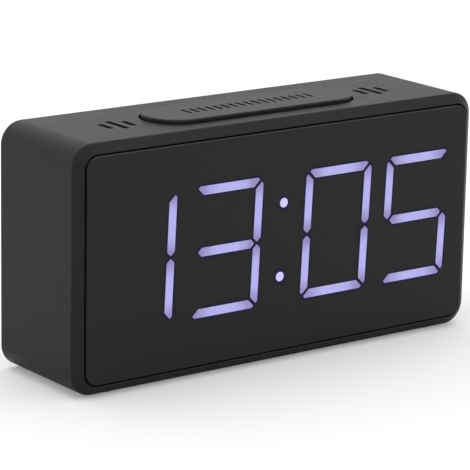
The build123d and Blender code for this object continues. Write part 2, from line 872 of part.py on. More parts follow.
def make_snooze_button():
    """The snooze bar: a hollow cap with a flange, two guide posts, spring collars and a centre boss."""
    crown = top + snooze_height
    flange_top = ceiling - stop_gap
    flange_bottom = flange_top - snooze_flange_thickness
    cap = plate(stadium(), flange_bottom, crown)
    cap = fillet(cap.faces().sort_by(Axis.Z)[-1].edges(), snooze_edge_radius)
    body = cap + plate(stadium(flange_growth), flange_bottom, flange_top)
    body -= plate(stadium(-snooze_wall), flange_bottom - overrun, crown - snooze_wall)
    for side in (-1, 1):
        x = side * guide_post_x
        body += rod_z(x, top_centre_y, flange_bottom, crown - snooze_wall / 2, spring_radius + spring_wire)
        post_end = snooze_board_bottom - guide_post_end
        body += rod_z(x, top_centre_y, post_end, crown - snooze_wall / 2, guide_post_radius)
    boss_end = snooze_board_top + snooze_tact_height + snooze_plunger_proud
    body += rod_z(0, top_centre_y, boss_end, crown - snooze_wall / 2, snooze_boss_core)
    for i in range(snooze_groove_count):
        x = (i - (snooze_groove_count - 1) / 2) * snooze_groove_pitch
        groove = Rot(0, 0, 90) * SlotOverall(snooze_groove_length, snooze_groove_width)
        body -= plate(Pos(x, top_centre_y) * groove, crown - snooze_groove_depth, crown + overrun)
    return body


def make_snooze_board():
    """The board under the snooze bar, cut away round the buzzer holder."""
    width = 2 * (snooze_boss_x + snooze_board_margin)
    outline = Pos(0, top_centre_y) * Rectangle(width, snooze_board_depth)
    cut = buzzer_diameter / 2 + buzzer_fit + buzzer_holder_wall + part_clearance
    for side in (-1, 1):
        outline -= Pos(side * slot_x, top_centre_y) * Circle(cut)
        outline -= Pos(side * guide_post_x, top_centre_y) * Circle(guide_post_radius + guide_clearance)
    for x, y in snooze_boss_places:
        outline -= Pos(x, y) * Circle(screw_radius + screw_hole_clearance)
    return plate(outline, snooze_board_bottom, snooze_board_top)


def make_snooze_switch():
    """The tact switch under the middle of the snooze bar."""
    switch = make_tact_switch(snooze_tact_size, snooze_tact_height, snooze_plunger_radius)
    return Pos(0, top_centre_y, snooze_board_top) * switch


def make_snooze_plunger():
    """The snooze switch's plunger."""
    face = snooze_board_top + snooze_tact_height
    start, end = face - snooze_plunger_depth, face + snooze_plunger_proud
    return rod_z(0, top_centre_y, start, end, snooze_plunger_radius)


def make_coil(height, turns, radius, wire_size):
    """A coil spring that stands on z = 0 and reaches the given height."""
    rise = height - wire_size
    helix = Helix(pitch=rise / turns, height=rise, radius=radius)
    section = Plane(origin=helix @ 0, z_dir=helix % 0) * Circle(wire_size / 2)
    return Pos(0, 0, wire_size / 2) * sweep(section, path=helix, is_frenet=True)


def make_snooze_springs():
    """The two springs that lift the bar, round its guide posts."""
    height = ceiling - stop_gap - snooze_flange_thickness - snooze_board_top
    coil = make_coil(height, spring_turns, spring_radius, spring_wire)
    return group([Pos(side * guide_post_x, top_centre_y, snooze_board_top) * coil for side in (-1, 1)])


def make_snooze_leads():
    """The two leads of the snooze board."""
    y = top_centre_y + snooze_boss_y / 2
    places = [snooze_lead_x + side * wire_diameter for side in (-1, 1)]
    return group([drop_lead(x, y, snooze_board_bottom, upper_lead_z) for x in places])


def make_rear_cover():
    """The rear cover: a plate with the battery bay, key holes, slider slot and socket opening."""
    width, height = inner_width - 2 * cover_clearance, inner_height - 2 * cover_clearance
    outline = round_rect(0, middle_z, width, height, inner_radius - cover_clearance)
    body = slab(outline, cover_inner, cover_outer)
    tray = Pos(0, bay_z) * Rectangle(bay_length + 2 * bay_wall, bay_height + 2 * bay_wall)
    body += slab(tray, bay_floor_y - bay_floor, bay_mouth)
    body -= slab(Pos(0, bay_z) * Rectangle(bay_length, bay_height), bay_floor_y, bay_mouth + overrun)
    width, height = door_width + 2 * door_clearance, door_height + 2 * door_clearance
    opening = round_rect(0, bay_z, width, height, door_corner_radius + door_clearance)
    body -= slab(opening, bay_mouth, cover_outer + overrun)

    for side in (-1, 1):
        x = side * tab_spread / 2
        ends = (x - tab_width / 2 - part_clearance, x + tab_width / 2 + part_clearance)
        top_end = bay_inner_bottom + overrun
        low_end = door_bottom - door_clearance
        body -= block(*ends, cover_outer - tab_sweep, cover_inner, bay_inner_bottom - 2 * bay_wall, top_end)
        body -= block(*ends, cover_inner - overrun, bay_mouth + overrun, low_end, top_end)

    notch_z = door_top + door_clearance
    notch_centre = notch_z + finger_notch_rise - finger_notch_radius
    notch_floor = cover_outer - finger_notch_depth
    body -= rod_y(0, notch_centre, notch_floor, cover_outer + overrun, finger_notch_radius)

    for side, z in ((-1, cell_places[0]), (1, cell_places[-1])):
        body -= contact_tag(side, z, contact_tag_clearance)

    for x, z in standoff_places:
        body += rod_y(x, z, control_back, cover_inner + cover_thickness / 2, standoff_radius)
        hole_end = control_front + screw_length + screw_fit
        body -= rod_y(x, z, control_back - overrun, hole_end, screw_radius + screw_fit)
    for x, z in column_places:
        body -= rod_y(x, z, cover_inner - overrun, rear, cover_screw_radius + screw_hole_clearance)
        head_hole = cover_screw_head_radius + screw_hole_clearance
        body -= rod_y(x, z, cover_outer - counterbore_depth, rear, head_hole)
    for x in key_places:
        body -= rod_y(x, key_z, cover_inner - overrun, rear, key_radius + key_clearance)

    slot = Rectangle(slider_length + slide_travel + 2 * part_clearance, slider_width + 2 * part_clearance)
    body -= slab(Pos(slide_x, key_z) * slot, cover_inner - overrun, rear)
    hole = (socket_width + 2 * part_clearance, socket_height + 2 * part_clearance)
    mouth = round_rect(socket_x, key_z, *hole, socket_corner_radius + part_clearance)
    body -= slab(mouth, cover_inner - overrun, rear)
    recess = (hole[0] + 2 * socket_recess_margin, hole[1] + 2 * socket_recess_margin, socket_recess_margin)
    body -= slab(round_rect(socket_x, key_z, *recess), cover_outer - socket_recess, rear)
    return body


def make_battery_door():
    """The battery door, with two tabs below, a springy tongue at the top and grip grooves."""
    body = slab(round_rect(0, bay_z, door_width, door_height, door_corner_radius), door_inner, cover_outer)
    for side in (-1, 1):
        x = side * tab_spread / 2
        ends = (x - tab_width / 2, x + tab_width / 2)
        leg_bottom = bay_inner_bottom + stop_gap
        leg_top = leg_bottom + tab_leg
        body += block(*ends, tab_inner_y, door_inner + door_thickness / 2, leg_bottom, leg_top)
        body += block(*ends, tab_inner_y, tab_inner_y + tab_thickness, door_bottom - tab_drop, leg_top)
        slit = side * (latch_width + latch_slit) / 2
        body -= block(
            slit - latch_slit / 2, slit + latch_slit / 2, door_inner - overrun, rear,
            door_top - latch_length, door_top + overrun,
        )
    nose_top = bay_inner_top - part_clearance
    body += block(
        -latch_width / 2, latch_width / 2, door_inner - latch_nose, door_inner + door_thickness / 2,
        nose_top - latch_nose, nose_top,
    )
    for i in range(grip_count):
        z = door_top - 2 * grip_pitch - i * grip_pitch
        groove = Pos(0, z) * SlotOverall(grip_length, grip_width)
        body -= slab(groove, cover_outer - grip_depth, rear)
    return body


def make_cells():
    """Three cells, laid head to tail."""
    cells = []
    for i, z in enumerate(cell_places):
        barrel = cell_length - cell_nub_length
        cell = plate(Circle(cell_diameter / 2), 0, barrel)
        cell = fillet(cell.edges(), cell_cap_edge)
        cell += plate(Circle(cell_nub_diameter / 2), barrel - cell_cap_edge, cell_length)
        way = -1 if i % 2 == 0 else 1
        start = way * (cell_length - bay_length / 2 + contact_thickness)
        cells.append(Pos(-start, cell_y, z) * Rot(0, way * 90, 0) * cell)
    return group(cells)


def contact_tag(side, z, clearance=0.0):
    """The solder tag that leaves the bay through its end wall, or with a clearance, the slot for it."""
    inner = bay_length / 2 - contact_thickness
    ends = sorted((side * inner, side * (bay_length / 2 + bay_wall + contact_tag_length)))
    half_y, half_z = contact_tag_width / 2 + clearance, contact_thickness / 2 + clearance
    return block(*ends, tag_y - half_y, tag_y + half_y, z - half_z, z + half_z)


def make_contact_plates():
    """The contact plates: single ones with a solder tag at the two ends of the row, double ones between."""
    plates = []
    for side in (-1, 1):
        outer = side * bay_length / 2
        ends = sorted((outer, outer - side * contact_thickness))
        single = cell_places[0] if side < 0 else cell_places[-1]
        pair = [z for z in cell_places if z != single]
        low, high = min(pair) - contact_width / 2, max(pair) + contact_width / 2
        sides = (cell_y - contact_width / 2, cell_y + contact_width / 2)
        plates.append(block(*ends, *sides, low, high))
        end_plate = block(*ends, *sides, single - contact_width / 2, single + contact_width / 2)
        plates.append(end_plate + contact_tag(side, single))
    return group(plates)


def make_contact_springs():
    """The springs that press on the flat end of each cell."""
    coil = make_coil(contact_spring_length, contact_spring_turns, contact_spring_radius, contact_spring_wire)
    springs = []
    for i, z in enumerate(cell_places):
        way = -1 if i % 2 == 0 else 1
        start = -way * (bay_length / 2 - contact_thickness)
        springs.append(Pos(start, cell_y, z) * Rot(0, way * 90, 0) * coil)
    return group(springs)


def make_battery_leads():
    """The two leads from the solder tags to the control board."""
    x = bay_length / 2 + bay_wall + contact_tag_length - wire_diameter / 2
    ends = ((-1, cell_places[0]), (1, cell_places[-1]))
    return group([drop_lead(side * x, tag_y, z + contact_thickness / 2, lower_lead_z) for side, z in ends])


def make_feet():
    """Four round pads in their pockets."""
    pads = []
    for x, y in foot_places:
        pad = rod_z(x, y, 0, bottom + foot_pocket, foot_diameter / 2)
        pads.append(fillet(pad.edges().sort_by(Axis.Z)[0], foot_edge_radius))
    return group(pads)


small_screw = screw(screw_radius, screw_head_radius, screw_length)
cover_screw = screw(cover_screw_radius, cover_screw_head_radius, cover_screw_length)

nodes["housing"] = make_housing()
nodes["front_panel"] = make_front_panel()
nodes["panel_tape"] = make_tape()
nodes["lit_segments"] = make_lenses(True)
nodes["unlit_segments"] = make_lenses(False)
nodes["colon_dots"] = make_colon()
nodes["diffuser_sheet"] = make_diffuser()
nodes["segment_reflector"] = make_reflector()
nodes["display_board"] = make_display_board()
nodes["segment_leds"] = make_leds()
nodes["display_board_screws"] = group([
    on_back(small_screw, x, z, board_back) for x, z in display_boss_places
])
nodes["driver_chips"] = make_driver_chips()
nodes["display_resistors"] = make_resistors()
nodes["ribbon_headers"] = make_headers()
nodes["ribbon_cable"] = make_ribbon()
nodes["control_board"] = make_control_board()
nodes["control_board_screws"] = group([
    on_front(small_screw, x, z, control_front) for x, z in standoff_places
])
nodes["microcontroller"] = make_micro()
nodes["clock_crystal"] = make_crystal()
nodes["smoothing_capacitor"] = make_capacitor()
nodes["key_switches"] = make_key_switches()
for number, x in enumerate(key_places, start=1):
    nodes[f"key_plunger_{number}"] = make_key_plunger(x)
    nodes[f"rear_key_{number}"] = make_rear_key(x)
nodes["slide_switch"] = make_slide_switch()
nodes["slide_switch_lever"] = make_slide_lever()
nodes["alarm_slider"] = make_slider()
nodes["power_socket"] = make_socket()
nodes["buzzer"] = make_buzzer()
nodes["buzzer_leads"] = make_buzzer_leads()
nodes["snooze_button"] = make_snooze_button()
nodes["snooze_board"] = make_snooze_board()
nodes["snooze_board_screws"] = group([
    Pos(x, y, snooze_board_bottom) * Rot(180, 0, 0) * small_screw for x, y in snooze_boss_places
])
nodes["snooze_switch"] = make_snooze_switch()
nodes["snooze_plunger"] = make_snooze_plunger()
nodes["snooze_springs"] = make_snooze_springs()
nodes["snooze_leads"] = make_snooze_leads()
nodes["rear_cover"] = make_rear_cover()
nodes["rear_cover_screws"] = group([
    on_back(cover_screw, x, z, cover_outer - counterbore_depth) for x, z in column_places
])
nodes["battery_door"] = make_battery_door()
nodes["battery_cells"] = make_cells()
nodes["contact_plates"] = make_contact_plates()
nodes["contact_springs"] = make_contact_springs()
nodes["battery_leads"] = make_battery_leads()
nodes["foot_pads"] = make_feet()

os.makedirs("parts", exist_ok=True)
for name, shape in nodes.items():
    export_step(shape, f"parts/{name}.step")
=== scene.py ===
"""Finishes, lit figures and printed marks of a digital LED desk clock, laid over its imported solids.

Metres. +Z is up and the display faces -Y. Seen from the front, +X is to the right.
"""

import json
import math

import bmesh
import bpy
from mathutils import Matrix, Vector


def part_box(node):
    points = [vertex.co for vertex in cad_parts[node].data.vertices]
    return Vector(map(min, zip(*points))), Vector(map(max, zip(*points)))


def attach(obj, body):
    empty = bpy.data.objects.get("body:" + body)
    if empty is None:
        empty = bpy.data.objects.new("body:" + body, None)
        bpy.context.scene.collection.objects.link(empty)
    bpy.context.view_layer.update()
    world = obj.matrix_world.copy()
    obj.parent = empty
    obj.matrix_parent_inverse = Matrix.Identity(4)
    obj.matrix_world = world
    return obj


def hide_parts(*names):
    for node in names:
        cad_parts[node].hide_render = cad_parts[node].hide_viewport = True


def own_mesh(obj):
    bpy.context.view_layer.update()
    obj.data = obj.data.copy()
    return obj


bl_info = {
    "name": "LED desk clock looks",
    "version": (1, 0, 0),
    "blender": (4, 5, 0),
    "location": "3D View > Sidebar > Clock",
    "description": "Dresses the desk clock's solids and sets up its studio",
    "category": "Object",
}

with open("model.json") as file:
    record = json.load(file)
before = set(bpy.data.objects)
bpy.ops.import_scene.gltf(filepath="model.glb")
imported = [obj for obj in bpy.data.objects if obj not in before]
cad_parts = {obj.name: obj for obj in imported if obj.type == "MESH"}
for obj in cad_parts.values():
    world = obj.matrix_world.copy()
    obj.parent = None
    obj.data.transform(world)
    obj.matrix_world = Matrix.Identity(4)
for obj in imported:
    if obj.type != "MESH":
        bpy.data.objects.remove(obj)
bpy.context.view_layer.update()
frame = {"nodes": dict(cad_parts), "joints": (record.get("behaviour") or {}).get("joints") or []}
nodes = frame["nodes"]


def mm(value):
    """Millimetres in metres."""
    return value / 1000


# Print on the back, each mark so far below the middle of its key, slider or socket
PRINT_HEIGHT = mm(0.03)
PRINT_LINE = mm(0.35)
MARK_SIZE = mm(2)
MARK_DROP = mm(5.8)
RING_SIDES = 24

# The raised arrow on the battery door, its tip so far below the door's top
DOOR_ARROW_WIDTH = mm(7.5)
DOOR_ARROW_DROP = mm(15.75)
DOOR_ARROW_HEIGHT = mm(0.2)

# The front panel's outline, and where the painted highlight along its upper edge begins and ends
PANEL_CORNER = mm(3.45)
HIGHLIGHT_FROM = mm(0.05)
HIGHLIGHT_TO = mm(0.28)

# Where one node changes its finish: legs and body of a chip, end and gold ring of a cell,
# half the tongue's share of the socket's width and height, and half a core of the ribbon
CHIP_BODY_MARGIN = mm(0.4)
CELL_END_BAND = mm(1.2)
CELL_RING = (0.68, 0.84)
SOCKET_TONGUE = (0.36, 0.2)
RIBBON_CORE = mm(0.6)

# The lit bars: shares of half a bar between which its sides and ends change, and its unevenness
BAR_SIDES = (0.3, 1.0)
BAR_ENDS = (0.3, 1.05)
BAR_STREAK = mm(1.1)
BAR_STREAK_SHARE = 0.5
BAR_TONE = mm(9)
HALO_LIFT = mm(0.01)
HALO_FADE = (0.1, 1.0)

# Mouldings: how wide the slow change of tone is, and how much wider than the grain the speckle is
TONE_WIDTH = mm(22)
SPECKLE_RATIO = 1.7

# The boards' copper tracks: how close they lie, how far they wind, and the edge of a track
TRACK_SCALE = 250.0
TRACK_TWIST = 4.0
TRACK_EDGE = (0.45, 0.55)

# How far the tone of a finish runs: factors for its darkest and its lightest shade
MOULDED_TONES = (0.8, 1.24)
METAL_TONES = (0.85, 1.05)
BOARD_TONES = (0.8, 1.5)
SATIN_TONES = (0.94, 1.06)
LIGHT_TONES = (0.88, 1.1)

# How near two points are one, how flat two faces are one, and what keeps a sharp mitre short
MERGE_DISTANCE = mm(0.001)
FLAT_ANGLE = math.radians(1)
LEAST_MITRE = 0.5

# The floor: half its width, its paint, and what a camera ray sees on top
FLOOR_REACH = 6
FLOOR_PAINT = 0.80
FLOOR_LIFT = 0.2


def paint(red, green=None, blue=None):
    """A colour in linear light, grey where only one number is given."""
    return (red, red, red, 1.0) if green is None else (red, green, blue, 1.0)


WHITE = paint(1.0)
DARK_LENS = paint(0.02, 0.02, 0.03)
HALO_BASE = paint(0.001, 0.001, 0.006)
TAPE = paint(0.012)
MILKY_SHADES = (paint(0.72, 0.72, 0.74), paint(0.80, 0.80, 0.82))
REFLECTOR = paint(0.70, 0.70, 0.69)
SOLDER_MASK = paint(0.012, 0.085, 0.030)
CHIP_RESIN = paint(0.014, 0.014, 0.015)
SWITCH_BLACK = paint(0.020, 0.020, 0.021)
CAPACITOR_SLEEVE = paint(0.010, 0.016, 0.045)
EMITTER = paint(0.78, 0.76, 0.62)
LEAD_RED = paint(0.33, 0.016, 0.012)
RIBBON_SHADES = (paint(0.30, 0.30, 0.31), paint(0.42, 0.42, 0.43))
TIN = paint(0.62, 0.62, 0.60)
CAN_METAL = paint(0.66, 0.66, 0.64)
ZINC = paint(0.58, 0.58, 0.57)
BLACK_STEEL = paint(0.045, 0.045, 0.048)
NICKEL = paint(0.68, 0.66, 0.62)
SOCKET_SHADES = (paint(0.60, 0.60, 0.59), paint(0.015, 0.015, 0.016))
CELL_TEAL = paint(0.010, 0.060, 0.070)
CELL_GOLD = paint(0.44, 0.34, 0.14)
RUBBER = paint(0.018)
INK = paint(0.36)


class Field:
    """One output in a node tree, with the usual operators as Math nodes."""

    def __init__(self, graph, socket):
        self.graph = graph
        self.socket = socket

    def __add__(self, other):
        return self.graph.maths("ADD", self, other)

    def __sub__(self, other):
        return self.graph.maths("SUBTRACT", self, other)

    def __rsub__(self, other):
        return self.graph.maths("SUBTRACT", other, self)

    def __mul__(self, other):
        return self.graph.maths("MULTIPLY", self, other)

    def __truediv__(self, other):
        return self.graph.maths("DIVIDE", self, other)

    def __gt__(self, other):
        return self.graph.maths("GREATER_THAN", self, other)

    def __lt__(self, other):
        return self.graph.maths("LESS_THAN", self, other)

    def __abs__(self):
        return self.graph.maths("ABSOLUTE", self)

    __radd__ = __add__
    __rmul__ = __mul__


class Graph:
    """A node tree that is written as expressions."""

    def __init__(self, tree):
        self.tree = tree

    def node(self, kind, settings=None, inputs=None, output=0):
        """Adds a node, sets it up, fills its sockets with values or links, and gives one output."""
        made = self.tree.nodes.new(kind)
        for name, value in (settings or {}).items():
            setattr(made, name, value)
        for name, value in (inputs or {}).items():
            for part in value if isinstance(value, list) else [value]:
                if isinstance(part, Field):
                    self.tree.links.new(part.socket, made.inputs[name])
                else:
                    made.inputs[name].default_value = part
        return Field(self, made.outputs[output]) if made.outputs else None

    def maths(self, operation, *values):
        """A Math node on numbers or outputs."""
        return self.node("ShaderNodeMath", {"operation": operation}, dict(enumerate(values)))


class Finish(Graph):
    """The node tree of one material."""

    def __init__(self, name):
        self.material = bpy.data.materials.new(name)
        self.material.use_nodes = True
        super().__init__(self.material.node_tree)
        self.tree.nodes.clear()

    def place(self):
        """Where a point lies on the object, in metres."""
        return self.node("ShaderNodeTexCoord", output="Object")

    def axes(self):
        """The three parts of a point's place."""
        parts = self.node("ShaderNodeSeparateXYZ", inputs={0: self.place()}).socket.node
        return [Field(self, parts.outputs[i]) for i in range(3)]

    def stored(self, name, output="Fac"):
        """A value that the mesh holds under a name."""
        return self.node("ShaderNodeAttribute", {"attribute_name": name}, output=output)

    def noise(self, grain, detail=2.0):
        """Smooth noise between 0 and 1, with features about as wide as the grain."""
        inputs = {"Vector": self.place(), "Scale": 1 / grain, "Detail": detail}
        return self.node("ShaderNodeTexNoise", inputs=inputs)

    def mix(self, share, first, second):
        """The first colour where the share is 0, the second where it is 1."""
        inputs = {0: share, 6: first, 7: second}
        return self.node("ShaderNodeMix", {"data_type": "RGBA"}, inputs, output=2)

    def tint(self, share, colour, darkest, lightest):
        """A colour that runs between two shades of itself."""
        return self.mix(share, shade(colour, darkest), shade(colour, lightest))

    def vary(self, value, *spreads):
        """A value that varies about its middle, by a width for each noise."""
        for noise, width in spreads:
            value = value + (noise - 0.5) * width
        return value

    def smooth(self, value, low, high):
        """0 below low, 1 above high, and smooth between them."""
        settings = {"interpolation_type": "SMOOTHSTEP"}
        inputs = {"Value": value, "From Min": low, "From Max": high}
        return self.node("ShaderNodeMapRange", settings, inputs)

    def bump(self, height, depth):
        """The surface's direction, tilted by a height field of the given depth."""
        inputs = {"Height": height, "Distance": depth, "Strength": 1.0}
        return self.node("ShaderNodeBump", inputs=inputs)

    def surface(self, **sockets):
        """Ends the tree in the main shader, whose sockets are named with underscores for spaces."""
        inputs = {name.replace("_", " "): value for name, value in sockets.items()}
        shader = self.node("ShaderNodeBsdfPrincipled", inputs=inputs)
        self.node("ShaderNodeOutputMaterial", inputs={"Surface": shader})
        return self.material

    def glowing(self, glow):
        """Ends the tree in a dark smooth face that is lit from behind."""
        return self.surface(
            Base_Color=DARK_LENS, Roughness=0.4, Specular_IOR_Level=0.2,
            Emission_Color=glow, Emission_Strength=1.0,
        )


def shade(colour, factor):
    """A colour made darker or lighter by a factor."""
    return tuple(min(1.0, part * factor) for part in colour[:3]) + (1.0,)


def moulded(name, colour, roughness, specular=0.25, grain=mm(0.16), depth=mm(0.012), spread=0.1):
    """Moulded plastic with a fine spark-eroded grain and a faint unevenness of tone."""
    made = Finish(name)
    broad = made.noise(TONE_WIDTH)
    fine = made.noise(grain, detail=3.0)
    speckle = made.noise(grain * SPECKLE_RATIO, detail=1.0)
    return made.surface(
        Base_Color=made.tint(broad * 0.4 + speckle * 0.6, colour, *MOULDED_TONES),
        Roughness=made.vary(roughness, (broad, 0.08), (fine, 0.2), (speckle, spread)),
        Specular_IOR_Level=specular,
        Normal=made.bump(fine, depth),
    )


def metal(name, colour, roughness):
    """Bright metal with fine wear in its polish."""
    made = Finish(name)
    wear = made.noise(mm(0.3), detail=4.0)
    broad = made.noise(mm(3))
    return made.surface(
        Base_Color=made.tint(broad, colour, *METAL_TONES),
        Metallic=1.0,
        Roughness=made.vary(roughness, (wear, 0.15)),
        Normal=made.bump(wear, mm(0.002)),
    )


def circuit_board(name, colour):
    """Solder mask over copper: a darker field with faint raised tracks."""
    made = Finish(name)
    waves = {"Vector": made.place(), "Scale": TRACK_SCALE, "Distortion": TRACK_TWIST}
    rows = made.node("ShaderNodeTexWave", {"bands_direction": "X"}, waves)
    tracks = made.smooth(rows, *TRACK_EDGE)
    cloud = made.noise(mm(0.4), detail=3.0)
    return made.surface(
        Base_Color=made.tint(tracks, colour, *BOARD_TONES),
        Roughness=made.vary(0.32, (cloud, 0.1)),
        Coat_Weight=0.3,
        Normal=made.bump(tracks, mm(0.03)),
    )


def set_finish(material, *names):
    """Gives CAD nodes their material."""
    for name in names:
        slots = nodes[name].data.materials
        slots.clear()
        slots.append(material)


def box_middle(name):
    """The middle of a CAD node's box."""
    low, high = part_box(name)
    return (low + high) / 2


def island_lists(mesh):
    """The separate solids of a mesh, as lists of faces."""
    left, islands = set(mesh.faces), []
    while left:
        island, open_faces = set(), [left.pop()]
        while open_faces:
            face = open_faces.pop()
            island.add(face)
            near = {other for edge in face.edges for other in edge.link_faces} & left
            left -= near
            open_faces += near
        islands.append(list(island))
    return islands


def bar_outlines(name):
    """The front outline of each solid of a node, as points in order round it."""
    mesh = bmesh.new()
    mesh.from_mesh(nodes[name].data)
    bmesh.ops.remove_doubles(mesh, verts=mesh.verts, dist=MERGE_DISTANCE)
    bmesh.ops.dissolve_limit(mesh, angle_limit=FLAT_ANGLE, verts=mesh.verts, edges=mesh.edges)
    mesh.normal_update()
    outlines = []
    for island in island_lists(mesh):
        front = min(island, key=lambda face: face.calc_center_median().y)
        outlines.append([vert.co.copy() for vert in front.verts])
    mesh.free()
    return sorted(outlines, key=lambda points: (round(points[0].x, 4), round(points[0].z, 4)))


def bar_axis(points):
    """A bar's middle, its unit direction, its half length and its half width."""
    middle = sum(points, Vector()) / len(points)
    spread = [p - middle for p in points]
    twist = 2 * sum(p.x * p.z for p in spread)
    stretch = sum(p.x * p.x - p.z * p.z for p in spread)
    turn = math.atan2(twist, stretch) / 2
    along = Vector((math.cos(turn), 0.0, math.sin(turn)))
    reach = [p.dot(along) for p in spread]
    width = [p.x * along.z - p.z * along.x for p in spread]
    halves = [(max(values) - min(values)) / 2 for values in (reach, width)]
    return middle + along * (max(reach) + min(reach)) / 2, along, *halves


def outline_faces(name, outlines):
    """A flat mesh, one face for each outline, marked with its middle, direction and half sizes."""
    data = bpy.data.meshes.new(name)
    points = [p for outline in outlines for p in outline]
    faces, start = [], 0
    for outline in outlines:
        faces.append(list(range(start, start + len(outline))))
        start += len(outline)
    data.from_pydata(points, [], faces)
    axes = [bar_axis(outline) for outline in outlines]
    for key, part in (("middle", 0), ("along", 1)):
        layer = data.attributes.new(key, "FLOAT_VECTOR", "FACE")
        layer.data.foreach_set("vector", [number for axis in axes for number in axis[part]])
    for key, part in (("half", 2), ("wide", 3)):
        layer = data.attributes.new(key, "FLOAT", "FACE")
        layer.data.foreach_set("value", [axis[part] for axis in axes])
    return data


def geometry_tree(name, sockets):
    """An empty Geometry Nodes tree with a geometry in and out, and its named inputs."""
    tree = bpy.data.node_groups.new(name, "GeometryNodeTree")
    tree.interface.new_socket("Geometry", in_out="INPUT", socket_type="NodeSocketGeometry")
    for label, kind in sockets.items():
        tree.interface.new_socket(label, in_out="INPUT", socket_type=kind)
    tree.interface.new_socket("Geometry", in_out="OUTPUT", socket_type="NodeSocketGeometry")
    graph = Graph(tree)
    entry = tree.nodes.new("NodeGroupInput")
    inputs = {label: Field(graph, entry.outputs[label]) for label in ("Geometry", *sockets)}
    return graph, inputs


def close_tree(graph, geometry, material):
    """Ends a tree in real geometry with its material."""
    real = graph.node("GeometryNodeRealizeInstances", inputs={"Geometry": geometry})
    done = graph.node("GeometryNodeSetMaterial", inputs={"Geometry": real, "Material": material})
    graph.node("NodeGroupOutput", inputs={"Geometry": done})
    return graph.tree


def grow(name, data, tree, values):
    """Runs a tree over a mesh and gives its result as a plain object."""
    seed = bpy.data.objects.new(name, data)
    bpy.context.scene.collection.objects.link(seed)
    modifier = seed.modifiers.new(name, "NODES")
    modifier.node_group = tree
    for item in tree.interface.items_tree:
        if item.item_type == "SOCKET" and item.in_out == "INPUT" and item.name in values:
            modifier[item.identifier] = values[item.name]
    graph = bpy.context.evaluated_depsgraph_get()
    mesh = bpy.data.meshes.new_from_object(seed.evaluated_get(graph))
    seed.modifiers.remove(modifier)
    seed.data = mesh
    mesh.name = name
    mesh.materials.clear()
    mesh.materials.append(values["Material"])
    mesh.polygons.foreach_set("material_index", [0] * len(mesh.polygons))
    outward = bmesh.new()
    outward.from_mesh(mesh)
    bmesh.ops.recalc_face_normals(outward, faces=outward.faces)
    outward.to_mesh(mesh)
    outward.free()
    return seed


def thicken(graph, faces, depth):
    """Closed prisms that reach from flat faces to a depth behind them, along Y."""
    back = graph.node("ShaderNodeCombineXYZ", inputs={1: depth})
    raised = graph.node(
        "GeometryNodeExtrudeMesh", {"mode": "FACES"},
        {"Mesh": faces, "Offset": back, "Offset Scale": 1.0, "Individual": False},
    )
    ends = graph.node("GeometryNodeFlipFaces", inputs={"Mesh": faces})
    joined = graph.node("GeometryNodeJoinGeometry", inputs={0: [raised, ends]})
    inputs = {"Geometry": joined, "Distance": MERGE_DISTANCE}
    return graph.node("GeometryNodeMergeByDistance", inputs=inputs)


def prism_tree():
    """A tree that makes a closed prism of each group of flat faces, down to a depth behind it."""
    sockets = {"Depth": "NodeSocketFloat", "Material": "NodeSocketMaterial"}
    graph, inputs = geometry_tree("prisms", sockets)
    prisms = thicken(graph, inputs["Geometry"], inputs["Depth"])
    return close_tree(graph, prisms, inputs["Material"])


def halo_tree():
    """A tree that grows a thin band outwards from rings of edges, marked 0 inside, 1 outside."""
    sockets = {
        "Width": "NodeSocketFloat", "Lift": "NodeSocketFloat", "Material": "NodeSocketMaterial",
    }
    graph, inputs = geometry_tree("halos", sockets)
    mitre = graph.node(
        "GeometryNodeInputNamedAttribute", {"data_type": "FLOAT_VECTOR"}, {"Name": "mitre"},
    )
    lift = graph.node("ShaderNodeCombineXYZ", inputs={1: 0 - inputs["Lift"]})
    lifted = graph.node(
        "GeometryNodeSetPosition", inputs={"Geometry": inputs["Geometry"], "Offset": lift},
    )
    rims = graph.node(
        "GeometryNodeExtrudeMesh", {"mode": "EDGES"},
        {"Mesh": lifted, "Offset": mitre, "Offset Scale": inputs["Width"]},
    )
    outer = Field(graph, rims.socket.node.outputs["Top"])
    marked = graph.node(
        "GeometryNodeStoreNamedAttribute", {"data_type": "FLOAT", "domain": "POINT"},
        {"Geometry": rims, "Name": "outer", "Value": outer},
    )
    return close_tree(graph, thicken(graph, marked, inputs["Lift"] * 2), inputs["Material"])


def outward_mitres(outline):
    """How far each corner of a flat outline moves when every side moves out by one."""
    middle = sum(outline, Vector()) / len(outline)
    sides = []
    for a, b in zip(outline, outline[1:] + outline[:1]):
        way = (b - a).normalized()
        normal = Vector((way.z, 0, -way.x))
        sides.append(normal if normal.dot(a - middle) > 0 else -normal)
    mitres = []
    for before, after in zip(sides[-1:] + sides[:-1], sides):
        bisector = (before + after).normalized()
        mitres.append(bisector / max(bisector.dot(after), LEAST_MITRE))
    return mitres


def rim_loops(name, outlines):
    """Closed rings of edges, one for each outline, with each point's outward mitre."""
    data = bpy.data.meshes.new(name)
    points, edges, mitres = [], [], []
    for outline in outlines:
        start, count = len(points), len(outline)
        points += outline
        edges += [(start + i, start + (i + 1) % count) for i in range(count)]
        mitres += outward_mitres(outline)
    data.from_pydata(points, edges, [])
    attribute = data.attributes.new("mitre", "FLOAT_VECTOR", "POINT")
    for item, mitre in zip(attribute.data, mitres):
        item.vector = mitre
    return data


def join_shapes(name, level, shapes):
    """One mesh of several flat shapes at a level y, each a list of faces of (x, z) points."""
    data = bpy.data.meshes.new(name)
    points, faces = [], []
    for shape in shapes:
        own = sorted({point for polygon in shape for point in polygon})
        faces += [[len(points) + own.index(point) for point in polygon] for polygon in shape]
        points += [(x, level, z) for x, z in own]
    data.from_pydata(points, [], faces)
    return data


def rectangle(x, z, width, height):
    """A rectangle about a point, seen from behind."""
    w, h = width / 2, height / 2
    return [(x - w, z - h), (x - w, z + h), (x + w, z + h), (x + w, z - h)]


